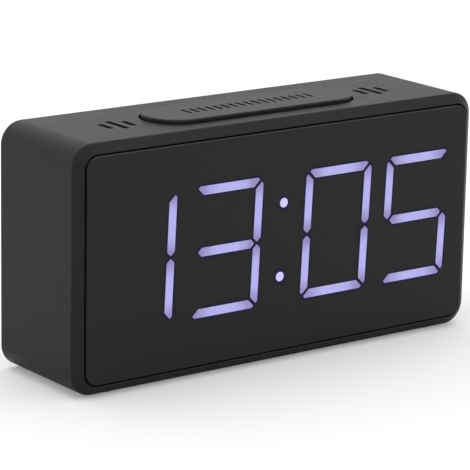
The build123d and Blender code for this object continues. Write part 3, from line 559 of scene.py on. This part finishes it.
def band(outer, inner):
    """The faces between two rings of as many points."""
    return [[inner[i - 1], outer[i - 1], outer[i], inner[i]] for i in range(len(outer))]


def plus_mark(x, z):
    """A plus, as one outline."""
    a, b = PRINT_LINE / 2, MARK_SIZE / 2
    turns = [(a, b), (a, a), (b, a), (b, -a), (a, -a), (a, -b)]
    return [[(x + u, z + v) for u, v in turns + [(-u, -v) for u, v in turns]]]


def minus_mark(x, z):
    """A level line."""
    return [rectangle(x, z, MARK_SIZE, PRINT_LINE)]


def stroke_mark(x, z):
    """An upright line."""
    return [rectangle(x, z, PRINT_LINE, MARK_SIZE)]


def ring_mark(x, z):
    """A ring, as a band of four-sided faces."""
    turns = [2 * math.pi * i / RING_SIDES for i in range(RING_SIDES)]
    outer, inner = [
        [(x + radius * math.cos(turn), z + radius * math.sin(turn)) for turn in turns]
        for radius in (MARK_SIZE / 2, MARK_SIZE / 2 - PRINT_LINE)
    ]
    return band(outer, inner)


def square_mark(x, z):
    """A square outline, as four mitred strips."""
    inside = MARK_SIZE - 2 * PRINT_LINE
    return band(rectangle(x, z, MARK_SIZE, MARK_SIZE), rectangle(x, z, inside, inside))


def supply_mark(x, z):
    """A full line over a broken one, each dash a shape of its own."""
    dash = MARK_SIZE / 3
    step = (2 * MARK_SIZE - dash) / 2
    full = rectangle(x, z + PRINT_LINE, 2 * MARK_SIZE, PRINT_LINE)
    dashes = [rectangle(x + i * step, z - PRINT_LINE, dash, PRINT_LINE) for i in (-1, 0, 1)]
    return [[line] for line in (full, *dashes)]


def chevron(x, z, width):
    """An arrow head that points down to its tip, as one outline."""
    half, line, fall = width / 2, width / 7, width / 4
    left = [(x - half, z + fall), (x - half, z + fall + line)]
    right = [(x + half, z + fall + line), (x + half, z + fall)]
    return [[(x, z), *left, (x, z + line), *right]]


def colour_setting(name, description, *parts):
    """A colour that the user can change."""
    return bpy.props.FloatVectorProperty(
        name=name, description=description, subtype="COLOR", size=4, min=0.0, max=1.0,
        default=paint(*parts),
    )


def share_setting(name, description, default):
    """A share between 0 and 1 that the user can change."""
    return bpy.props.FloatProperty(
        name=name, description=description, subtype="FACTOR", min=0.0, max=1.0, default=default,
    )


def number_setting(name, description, unit, default):
    """A length, power or strength that the user can change."""
    return bpy.props.FloatProperty(
        name=name, description=description, unit=unit, min=0.0, default=default,
    )


def angle_setting(name, description, degrees):
    """An angle that the user can change."""
    return bpy.props.FloatProperty(
        name=name, description=description, subtype="ANGLE", default=math.radians(degrees),
    )


class ClockCaseSettings(bpy.types.PropertyGroup):
    """The case's plastic."""

    colour: colour_setting("Colour", "Colour of the moulded case", 0.0068, 0.0068, 0.0070)
    roughness: share_setting("Roughness", "How matt the case is", 0.46)
    speckle: share_setting("Speckle", "How far the grain varies the roughness", 0.24)
    grain: number_setting("Grain", "Width of the mould's grain", "LENGTH", mm(0.30))
    grain_depth: number_setting("Grain depth", "Depth of the mould's grain", "LENGTH", mm(0.035))


class ClockDisplaySettings(bpy.types.PropertyGroup):
    """The panel and the lit figures."""

    panel_colour: colour_setting("Panel colour", "Colour of the front panel", 0.0092)
    # A painted highlight: the lighter colour that the panel's upper edge is drawn in
    highlight_colour: colour_setting(
        "Edge colour", "Painted highlight along the upper edge of the front panel", 0.028, 0.028, 0.029,
    )
    light_colour: colour_setting(
        "Light colour", "Colour in the middle of a lit bar", 0.450, 0.425, 0.860,
    )
    side_colour: colour_setting(
        "Side colour", "Greyer light along a bar's sides", 0.460, 0.435, 0.700,
    )
    end_colour: colour_setting(
        "End colour", "Colour towards the ends of a lit bar", 0.250, 0.222, 0.430,
    )
    dot_colour: colour_setting("Dot colour", "Colour of the two dots", 0.62, 0.58, 0.92)
    halo_colour: colour_setting("Halo colour", "Stray light round a lit bar", 0.020, 0.016, 0.062)
    halo_width: number_setting(
        "Halo width", "Width of the stray light round a bar", "LENGTH", mm(1.00),
    )


class ClockStageSettings(bpy.types.PropertyGroup):
    """The studio and the camera."""

    turn: angle_setting("Turn", "How far the camera stands to the left of the front", 37.08)
    tilt: angle_setting("Tilt", "How far the camera looks down", 14.38)
    roll: angle_setting("Roll", "How far the camera leans", 1.073)
    distance: number_setting("Distance", "From the camera to the case's middle", "LENGTH", 0.73658)
    lens: number_setting("Lens", "Focal length of the camera", "CAMERA", 211.96)
    sky: number_setting("Room light", "Strength of the room's even light", "NONE", 0.9)
    top_light: number_setting("Top light", "Power of the soft light overhead", "POWER", 3.0)
    side_light: number_setting("Side light", "Power of the soft light at the left", "POWER", 0.25)


class ClockOperator:
    """What the clock's operators share."""

    bl_options = {"REGISTER", "UNDO"}

    @classmethod
    def poll(cls, context):
        return context.scene is not None


class CLOCK_OT_case(ClockOperator, bpy.types.Operator):
    """Gives the case, cover, door, keys and snooze bar their moulded plastic"""

    bl_idname = "clock.case"
    bl_label = "Case"

    button_polish = 0.025
    key_tone = 1.3

    def execute(self, context):
        case = context.scene.clock_case
        colour = tuple(case.colour)
        grain = {"grain": case.grain, "depth": case.grain_depth, "spread": case.speckle}
        look = moulded("case_plastic", colour, case.roughness, **grain)
        set_finish(look, "housing", "rear_cover", "battery_door")
        button = moulded("button_plastic", colour, case.roughness - self.button_polish, **grain)
        set_finish(button, "snooze_button")
        key_colour = shade(colour, self.key_tone)
        smooth = moulded("key_plastic", key_colour, 0.38, grain=mm(0.3), depth=mm(0.004))
        set_finish(smooth, "alarm_slider", *[f"rear_key_{i}" for i in range(1, 5)])
        return {"FINISHED"}


class CLOCK_OT_panel(ClockOperator, bpy.types.Operator):
    """Gives the front panel and its dark bars a smooth satin finish"""

    bl_idname = "clock.panel"
    bl_label = "Front panel"

    roughness = 0.42
    grain = mm(0.5)
    grain_depth = mm(0.0015)
    bar_tone = 0.97

    def execute(self, context):
        settings = context.scene.clock_display
        colour = tuple(settings.panel_colour)
        dark = moulded(
            "dark_bar", shade(colour, self.bar_tone), self.roughness,
            grain=self.grain, depth=self.grain_depth, spread=0.0,
        )
        set_finish(dark, "unlit_segments")
        made = Finish("panel_satin")
        broad = made.noise(TONE_WIDTH)
        fine = made.noise(self.grain, detail=3.0)
        plain = made.tint(broad, colour, *SATIN_TONES)
        # The upper edge is painted lighter: a painted highlight for the light that its rounded edge
        # catches from above
        look = made.surface(
            Base_Color=made.mix(self.painted_highlight(made), plain, tuple(settings.highlight_colour)),
            Roughness=made.vary(self.roughness, (broad, 0.05)),
            Specular_IOR_Level=0.25,
            Normal=made.bump(fine, self.grain_depth),
        )
        set_finish(look, "front_panel")
        return {"FINISHED"}

    @staticmethod
    def painted_highlight(made):
        """Where the highlight is painted: 1 along the upper edge of the panel's rounded outline, and
        0 inside it and lower down.
        """
        low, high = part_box("front_panel")
        middle, half = (low + high) / 2, (high - low) / 2
        x, _, z = made.axes()
        reach = [
            abs(x - middle.x) - (half.x - PANEL_CORNER),
            abs(z - middle.z) - (half.z - PANEL_CORNER),
        ]
        past = [made.maths("MAXIMUM", part, 0.0) for part in reach]
        corner = made.maths("SQRT", past[0] * past[0] + past[1] * past[1])
        side = made.maths("MINIMUM", made.maths("MAXIMUM", *reach), 0.0)
        inward = PANEL_CORNER - corner - side
        upper = made.smooth(z, high.z - PANEL_CORNER, high.z)
        return (1 - made.smooth(inward, HIGHLIGHT_FROM, HIGHLIGHT_TO)) * upper


class CLOCK_OT_light_bars(ClockOperator, bpy.types.Operator):
    """Makes the lit bars of the four figures from the solids' outlines"""

    bl_idname = "clock.light_bars"
    bl_label = "Lit bars"

    def execute(self, context):
        low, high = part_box("lit_segments")
        data = outline_faces("light_bars", bar_outlines("lit_segments"))
        look = self.glow(context.scene.clock_display)
        values = {"Depth": high.y - low.y, "Material": look}
        bars = grow("light_bars", data, prism_tree(), values)
        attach(bars, "case")
        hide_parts("lit_segments")
        return {"FINISHED"}

    @staticmethod
    def glow(settings):
        """The light of a bar: bluest along its middle, greyer at its sides, dimmer at its ends."""
        made = Finish("lit_bar")
        middle, along = made.stored("middle", "Vector"), made.stored("along", "Vector")
        half, wide = made.stored("half"), made.stored("wide")
        offset = made.node(
            "ShaderNodeVectorMath", {"operation": "SUBTRACT"}, {0: made.place(), 1: middle},
        )
        pair = {0: offset, 1: along}
        reach = made.node("ShaderNodeVectorMath", {"operation": "DOT_PRODUCT"}, pair, "Value")
        cross = made.node("ShaderNodeVectorMath", {"operation": "CROSS_PRODUCT"}, pair)
        across = made.node("ShaderNodeSeparateXYZ", inputs={0: cross}, output=1)
        tone = made.noise(BAR_TONE, detail=1.0)
        core = made.tint(tone, tuple(settings.light_colour), *LIGHT_TONES)
        sides = made.smooth(abs(across) / wide, *BAR_SIDES)
        body = made.mix(sides, core, tuple(settings.side_colour))
        streaks = made.noise(BAR_STREAK, detail=1.0)
        ends = made.vary(made.smooth(abs(reach) / half, *BAR_ENDS), (streaks, BAR_STREAK_SHARE))
        share = made.node("ShaderNodeClamp", inputs={0: ends})
        return made.glowing(made.mix(share, body, tuple(settings.end_colour)))


class CLOCK_OT_halos(ClockOperator, bpy.types.Operator):
    """Lays the dim blue rim of stray light round every lit bar and dot"""

    bl_idname = "clock.halos"
    bl_label = "Halos"

    def execute(self, context):
        settings = context.scene.clock_display
        made = Finish("bar_halo")
        look = made.surface(
            Base_Color=HALO_BASE, Roughness=0.5, Specular_IOR_Level=0.05,
            Emission_Color=tuple(settings.halo_colour), Emission_Strength=1.0,
            Alpha=1 - made.smooth(made.stored("outer"), *HALO_FADE),
        )
        outlines = bar_outlines("lit_segments") + bar_outlines("colon_dots")
        values = {"Width": settings.halo_width, "Lift": HALO_LIFT, "Material": look}
        halos = grow("bar_halos", rim_loops("bar_halos", outlines), halo_tree(), values)
        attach(halos, "case")
        return {"FINISHED"}


class CLOCK_OT_dots(ClockOperator, bpy.types.Operator):
    """Lights the two dots between the hours and the minutes"""

    bl_idname = "clock.dots"
    bl_label = "Dots"

    def execute(self, context):
        colour = tuple(context.scene.clock_display.dot_colour)
        made = Finish("lit_dot")
        spots = made.noise(mm(0.9), detail=1.0)
        set_finish(made.glowing(made.tint(spots, colour, *SATIN_TONES)), "colon_dots")
        return {"FINISHED"}


class CLOCK_OT_light_box(ClockOperator, bpy.types.Operator):
    """Finishes what lies behind the panel: tape, milky sheet and reflector"""

    bl_idname = "clock.light_box"
    bl_label = "Light box"

    def execute(self, context):
        set_finish(moulded("tape_foam", TAPE, 0.9, grain=mm(0.2)), "panel_tape")
        milky = Finish("milky_sheet")
        sheet = milky.surface(
            Base_Color=milky.mix(milky.noise(mm(4)), *MILKY_SHADES),
            Roughness=0.55, Subsurface_Weight=0.2,
        )
        set_finish(sheet, "diffuser_sheet")
        white = moulded("white_plastic", REFLECTOR, 0.45, specular=0.4)
        set_finish(white, "segment_reflector", "ribbon_headers")
        return {"FINISHED"}


class CLOCK_OT_electronics(ClockOperator, bpy.types.Operator):
    """Finishes the boards and the small parts on them"""

    bl_idname = "clock.electronics"
    bl_label = "Electronics"

    def execute(self, context):
        board = circuit_board("solder_mask", SOLDER_MASK)
        set_finish(board, "display_board", "control_board", "snooze_board")
        display_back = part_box("display_board")[1].y
        control_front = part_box("control_board")[0].y
        set_finish(self.chip("driver_resin", display_back, 1), "driver_chips")
        set_finish(self.chip("micro_resin", control_front, -1), "microcontroller")
        glossy = {"specular": 0.5, "depth": mm(0.003)}
        switch = moulded("switch_plastic", SWITCH_BLACK, 0.35, **glossy)
        plungers = [f"key_plunger_{i}" for i in range(1, 5)]
        set_finish(switch, "key_switches", "snooze_switch", "slide_switch", "slide_switch_lever")
        set_finish(switch, "snooze_plunger", "display_resistors", "buzzer", *plungers)
        set_finish(metal("can_metal", CAN_METAL, 0.28), "clock_crystal")
        sleeve = moulded("capacitor_sleeve", CAPACITOR_SLEEVE, 0.3, **glossy)
        set_finish(sleeve, "smoothing_capacitor")
        set_finish(moulded("emitter_resin", EMITTER, 0.35, specular=0.5), "segment_leds")
        return {"FINISHED"}

    @staticmethod
    def chip(name, level, way):
        """Black resin over tinned legs, told apart by the height over the board along Y."""
        made = Finish(name)
        y = made.axes()[1]
        fine = made.noise(mm(0.12), detail=3.0)
        resin = (y - level) * way > CHIP_BODY_MARGIN
        return made.surface(
            Base_Color=made.mix(resin, TIN, CHIP_RESIN),
            Metallic=1 - resin,
            Roughness=0.34 + resin * 0.22,
            Normal=made.bump(fine, mm(0.006)),
        )


class CLOCK_OT_leads(ClockOperator, bpy.types.Operator):
    """Finishes the leads and the ribbon"""

    bl_idname = "clock.leads"
    bl_label = "Leads"

    def execute(self, context):
        red = moulded("red_sleeve", LEAD_RED, 0.42, specular=0.5, grain=mm(0.4))
        set_finish(red, "battery_leads", "buzzer_leads", "snooze_leads")
        made = Finish("ribbon_sleeve")
        cores = made.maths("PINGPONG", made.axes()[0], RIBBON_CORE) / RIBBON_CORE
        look = made.surface(
            Base_Color=made.mix(cores, *RIBBON_SHADES),
            Roughness=0.45,
            Normal=made.bump(cores, mm(0.2)),
        )
        set_finish(look, "ribbon_cable")
        return {"FINISHED"}


class CLOCK_OT_metalwork(ClockOperator, bpy.types.Operator):
    """Finishes the screws, springs, contacts and socket"""

    bl_idname = "clock.metalwork"
    bl_label = "Metalwork"

    def execute(self, context):
        zinc = metal("zinc_steel", ZINC, 0.34)
        set_finish(zinc, "display_board_screws", "control_board_screws", "snooze_board_screws")
        set_finish(metal("black_steel", BLACK_STEEL, 0.4), "rear_cover_screws")
        nickel = metal("nickel_steel", NICKEL, 0.24)
        set_finish(nickel, "contact_springs", "contact_plates", "snooze_springs")
        self.add_lift_springs(nickel)
        set_finish(self.socket_shell(), "power_socket")
        return {"FINISHED"}

    @staticmethod
    def add_lift_springs(look):
        """Stands two springs in for the solid ones."""
        low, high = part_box("snooze_springs")
        press = next(joint for joint in frame["joints"] if joint["name"] == "snooze_press")
        travel = press["range_m"][1]
        springs = bpy.data.objects.new("lift_springs", nodes["snooze_springs"].data.copy())
        bpy.context.scene.collection.objects.link(springs)
        springs.data.materials.clear()
        springs.data.materials.append(look)
        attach(springs, "snooze")
        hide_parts("snooze_springs")
        keep = 1 - travel / (high.z - low.z)
        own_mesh(springs)

    @staticmethod
    def socket_shell():
        """Steel with a black tongue in its middle."""
        low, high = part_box("power_socket")
        middle, size = (low + high) / 2, high - low
        made = Finish("socket_shell")
        x, _, z = made.axes()
        level = abs(x - middle.x) < size.x * SOCKET_TONGUE[0]
        tongue = level * (abs(z - middle.z) < size.z * SOCKET_TONGUE[1])
        wear = made.noise(mm(0.4), detail=3.0)
        return made.surface(
            Base_Color=made.mix(tongue, *SOCKET_SHADES),
            Metallic=1 - tongue,
            Roughness=made.vary(0.26 + tongue * 0.2, (wear, 0.1)),
        )


class CLOCK_OT_cells(ClockOperator, bpy.types.Operator):
    """Gives the three cells a printed sleeve between bright steel ends"""

    bl_idname = "clock.cells"
    bl_label = "Cells"

    def execute(self, context):
        low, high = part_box("battery_cells")
        half = (high.x - low.x) / 2
        made = Finish("cell_sleeve")
        reach = abs(made.axes()[0] - (low.x + half))
        steel = reach > half - CELL_END_BAND
        ring = (reach > half * CELL_RING[0]) * (reach < half * CELL_RING[1])
        scuffs = made.noise(mm(1.2), detail=4.0)
        look = made.surface(
            Base_Color=made.mix(steel, made.mix(ring, CELL_TEAL, CELL_GOLD), TIN),
            Metallic=steel,
            Roughness=made.vary(0.32, (scuffs, 0.12)),
        )
        set_finish(look, "battery_cells")
        return {"FINISHED"}


class CLOCK_OT_feet(ClockOperator, bpy.types.Operator):
    """Gives the foot pads their matt rubber"""

    bl_idname = "clock.feet"
    bl_label = "Feet"

    def execute(self, context):
        rubber = moulded("foot_rubber", RUBBER, 0.85, grain=mm(0.25), depth=mm(0.02))
        set_finish(rubber, "foot_pads")
        return {"FINISHED"}


class CLOCK_OT_marks(ClockOperator, bpy.types.Operator):
    """Prints plain marks under the rear keys, slider and socket, and raises an arrow on the door"""

    bl_idname = "clock.marks"
    bl_label = "Rear marks"

    def execute(self, context):
        ink = moulded("pale_print", INK, 0.6, depth=mm(0.002))
        values = {"Depth": PRINT_HEIGHT, "Material": ink}
        flat = join_shapes("rear_marks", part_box("rear_cover")[1].y, self.print_shapes())
        marks = grow("rear_marks", flat, prism_tree(), values)
        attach(marks, "case")
        door_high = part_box("battery_door")[1]
        shape = chevron(0.0, door_high.z - DOOR_ARROW_DROP, DOOR_ARROW_WIDTH)
        values = {"Depth": DOOR_ARROW_HEIGHT, "Material": bpy.data.materials["case_plastic"]}
        flat = join_shapes("door_arrow", door_high.y, [shape])
        arrow = grow("door_arrow", flat, prism_tree(), values)
        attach(arrow, "door")
        return {"FINISHED"}

    @staticmethod
    def print_shapes():
        """The printed marks, each a list of faces."""
        shapes = []
        for number, draw in enumerate((ring_mark, square_mark, minus_mark, plus_mark), start=1):
            key = box_middle(f"rear_key_{number}")
            shapes.append(draw(key.x, key.z - MARK_DROP))
        slider, socket = box_middle("alarm_slider"), box_middle("power_socket")
        shapes.append(ring_mark(slider.x - MARK_SIZE / 2, slider.z - MARK_DROP))
        shapes.append(stroke_mark(slider.x + 3 * MARK_SIZE / 2, slider.z - MARK_DROP))
        return shapes + supply_mark(socket.x, socket.z - MARK_DROP)


class CLOCK_OT_stage(ClockOperator, bpy.types.Operator):
    """Sets up the floor, the soft light and the camera at the photograph's angle"""

    bl_idname = "clock.stage"
    bl_label = "Studio"

    lamp_aim = (0, 0, 0.03)
    image_size = 470.0
    middle_pixel = (243.47, 226.38)
    aim_depth = mm(17.25)
    sensor = 36.0
    nearest = 0.05

    def execute(self, context):
        stage = context.scene.clock_stage
        self.add_floor()
        self.add_room(stage.sky)
        self.add_lamp("top_light", (0.1, 0.25, 0.9), 1.2, stage.top_light)
        self.add_lamp("side_light", (-0.9, 0.5, 0.35), 0.8, stage.side_light)
        self.add_camera(context.scene, stage)
        context.scene.view_settings.view_transform = "Standard"
        return {"FINISHED"}

    @staticmethod
    def add_floor():
        """A wide floor that the camera sees as white, apart from the object's shadow."""
        made = Finish("pale_floor")
        seen = made.node("ShaderNodeLightPath", output="Is Camera Ray")
        diffuse = made.node("ShaderNodeBsdfDiffuse", inputs={"Color": paint(FLOOR_PAINT)})
        lift = made.node(
            "ShaderNodeEmission", inputs={"Color": WHITE, "Strength": seen * FLOOR_LIFT},
        )
        both = made.node("ShaderNodeAddShader", inputs={0: diffuse, 1: lift})
        made.node("ShaderNodeOutputMaterial", inputs={"Surface": both})
        data = bpy.data.meshes.new("floor")
        signs = ((-1, -1), (1, -1), (1, 1), (-1, 1))
        data.from_pydata([(x * FLOOR_REACH, y * FLOOR_REACH, 0) for x, y in signs], [], [range(4)])
        data.materials.append(made.material)
        floor = bpy.data.objects.new("floor", data)
        bpy.context.scene.collection.objects.link(floor)

    @staticmethod
    def add_room(strength):
        """An even room that the camera and reflections see as white."""
        world = bpy.data.worlds.new("room")
        world.use_nodes = True
        bpy.context.scene.world = world
        graph = Graph(world.node_tree)
        graph.tree.nodes.clear()
        path = graph.node("ShaderNodeLightPath").socket.node
        camera, glossy, clear = [
            Field(graph, path.outputs[f"Is {name} Ray"])
            for name in ("Camera", "Glossy", "Transmission")
        ]
        white = graph.maths("MAXIMUM", camera, graph.maths("MAXIMUM", glossy, clear))
        inputs = {"Color": WHITE, "Strength": strength + white * (1 - strength)}
        light = graph.node("ShaderNodeBackground", inputs=inputs)
        graph.node("ShaderNodeOutputWorld", inputs={"Surface": light})

    def add_lamp(self, name, place, size, power):
        """A soft square lamp at a place, aimed at the clock."""
        lamp = bpy.data.lights.new(name, "AREA")
        lamp.shape = "SQUARE"
        lamp.size = size
        lamp.energy = power
        holder = bpy.data.objects.new(name, lamp)
        holder.location = place
        way = Vector(self.lamp_aim) - Vector(place)
        holder.rotation_euler = way.to_track_quat("-Z", "Y").to_euler()
        bpy.context.scene.collection.objects.link(holder)

    def add_camera(self, scene, stage):
        """Stands the camera so that the case's middle falls on its pixel in the photograph."""
        ahead = Vector((
            math.sin(stage.turn) * math.cos(stage.tilt),
            math.cos(stage.turn) * math.cos(stage.tilt),
            -math.sin(stage.tilt),
        ))
        right = Vector((math.cos(stage.turn), -math.sin(stage.turn), 0.0))
        down = ahead.cross(right)
        cosine, sine = math.cos(stage.roll), math.sin(stage.roll)
        right, down = right * cosine - down * sine, right * sine + down * cosine
        pixels = stage.lens / self.sensor * self.image_size
        across, below = [(place - self.image_size / 2) / pixels for place in self.middle_pixel]
        low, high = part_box("housing")
        middle = Vector((0.0, low.y + self.aim_depth, (low.z + high.z) / 2))
        spot = middle - (right * across + down * below + ahead) * stage.distance
        data = bpy.data.cameras.new("camera")
        data.lens = stage.lens
        data.sensor_width = self.sensor
        data.clip_start = self.nearest
        camera = bpy.data.objects.new("camera", data)
        turn = Matrix((right, -down, -ahead)).transposed()
        camera.matrix_world = Matrix.Translation(spot) @ turn.to_4x4()
        scene.collection.objects.link(camera)
        scene.camera = camera


SETTINGS = {
    "clock_case": ClockCaseSettings,
    "clock_display": ClockDisplaySettings,
    "clock_stage": ClockStageSettings,
}
PIECES = (
    CLOCK_OT_case,
    CLOCK_OT_panel,
    CLOCK_OT_light_bars,
    CLOCK_OT_halos,
    CLOCK_OT_dots,
    CLOCK_OT_light_box,
    CLOCK_OT_electronics,
    CLOCK_OT_leads,
    CLOCK_OT_metalwork,
    CLOCK_OT_cells,
    CLOCK_OT_feet,
    CLOCK_OT_marks,
    CLOCK_OT_stage,
)


class CLOCK_PT_looks(bpy.types.Panel):
    """The clock's settings and pieces"""

    bl_label = "LED desk clock"
    bl_space_type = "VIEW_3D"
    bl_region_type = "UI"
    bl_category = "Clock"

    def draw(self, context):
        for group in SETTINGS:
            settings = getattr(context.scene, group)
            box = self.layout.box()
            for name in settings.bl_rna.properties.keys():
                if name not in ("rna_type", "name"):
                    box.prop(settings, name)
        for piece in PIECES:
            self.layout.operator(piece.bl_idname)


CLASSES = (*SETTINGS.values(), *PIECES, CLOCK_PT_looks)


def register():
    for item in CLASSES:
        bpy.utils.register_class(item)
    for name, group in SETTINGS.items():
        setattr(bpy.types.Scene, name, bpy.props.PointerProperty(type=group))


def unregister():
    for name in SETTINGS:
        delattr(bpy.types.Scene, name)
    for item in reversed(CLASSES):
        bpy.utils.unregister_class(item)


def main():
    """Dresses the whole clock."""
    register()
    for piece in PIECES:
        family, action = piece.bl_idname.split(".")
        getattr(getattr(bpy.ops, family), action)()


if __name__ == "__main__":
    main()
